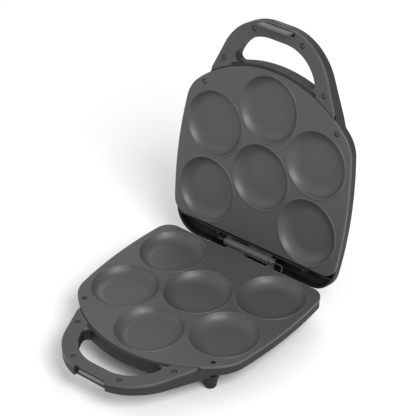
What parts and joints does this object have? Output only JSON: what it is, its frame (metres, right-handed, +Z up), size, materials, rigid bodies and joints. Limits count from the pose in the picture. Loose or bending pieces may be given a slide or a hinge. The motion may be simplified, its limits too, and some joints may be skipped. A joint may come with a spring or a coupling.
{
  "type": "electric pancake maker",
  "caption": "Clamshell electric griddle with round shallow wells in both plates, a hinged lid standing open, loop grips and a pivoted clip latch.",
  "frame": {"origin": "on the surface it stands on, under the middle of the open appliance's box", "axes": "+Z up, +Y to the rear (hinge side), +X to the right seen from the grips"},
  "size_m": [0.2444, 0.3502, 0.3206],
  "materials": {
    "housing_plastic": "fine moulded texture, dark grey",
    "latch_plastic": "fine moulded texture, dark grey",
    "hinge_plastic": "smooth satin, mid grey",
    "nonstick_coating": "satin non-stick coating on die-cast aluminium",
    "screw_steel": "blackened steel",
    "bright_steel": "drawn",
    "heater_steel": "dull, heat darkened",
    "shield_steel": "rolled sheet",
    "white_insulator": "unglazed white",
    "lead_sleeve": "silicone sleeve",
    "rubber": "matt",
    "red_lens": "clear red",
    "green_lens": "clear green",
    "lamp_glass": "clear"
  },
  "bodies": {
    "base": {"base_housing": "housing_plastic", "base_handle_cover": "housing_plastic", "base_plate": "nonstick_coating", "base_heater": "heater_steel", "base_heater_pins": "bright_steel", "base_heat_shield": "shield_steel", "base_shield_screws": "screw_steel", "thermostat": "white_insulator", "thermal_fuse": "white_insulator", "terminal_block": "white_insulator", "base_lead": "lead_sleeve", "heater_links": "lead_sleeve", "base_plate_screws": "screw_steel", "base_handle_screws": "screw_steel", "base_hinge_bracket": "hinge_plastic", "base_hinge_screws": "screw_steel", "hinge_pin": "bright_steel", "cord_gland": "rubber", "foot_front_left": "housing_plastic", "foot_front_right": "housing_plastic", "foot_rear_left": "housing_plastic", "foot_rear_right": "housing_plastic", "foot_pads": "rubber", "foot_screws": "screw_steel"},
    "lid": {"lid_housing": "housing_plastic", "lid_handle_cover": "housing_plastic", "lid_plate": "nonstick_coating", "lid_heater": "heater_steel", "lid_heater_pins": "bright_steel", "lid_heat_shield": "shield_steel", "lid_shield_screws": "screw_steel", "lid_plate_screws": "screw_steel", "lid_handle_screws": "screw_steel", "lid_hinge_bracket": "hinge_plastic", "lid_hinge_screws": "screw_steel", "lid_lead": "lead_sleeve", "latch_pin": "bright_steel", "power_lens": "red_lens", "ready_lens": "green_lens", "lamps": "lamp_glass"},
    "latch": {"latch": "latch_plastic"}
  },
  "joints": [
    {"name": "lid_hinge", "type": "hinge", "parent": "base", "child": "lid", "pos_m": [0, 0.10309, 0.0448], "axis": [1, 0, 0], "range_deg": [0, 102.1]},
    {"name": "latch_pivot", "type": "hinge", "parent": "lid", "child": "latch", "pos_m": [0, 0.16749, 0.31183], "axis": [1, 0, 0], "range_deg": [0, 6]}
  ]
}
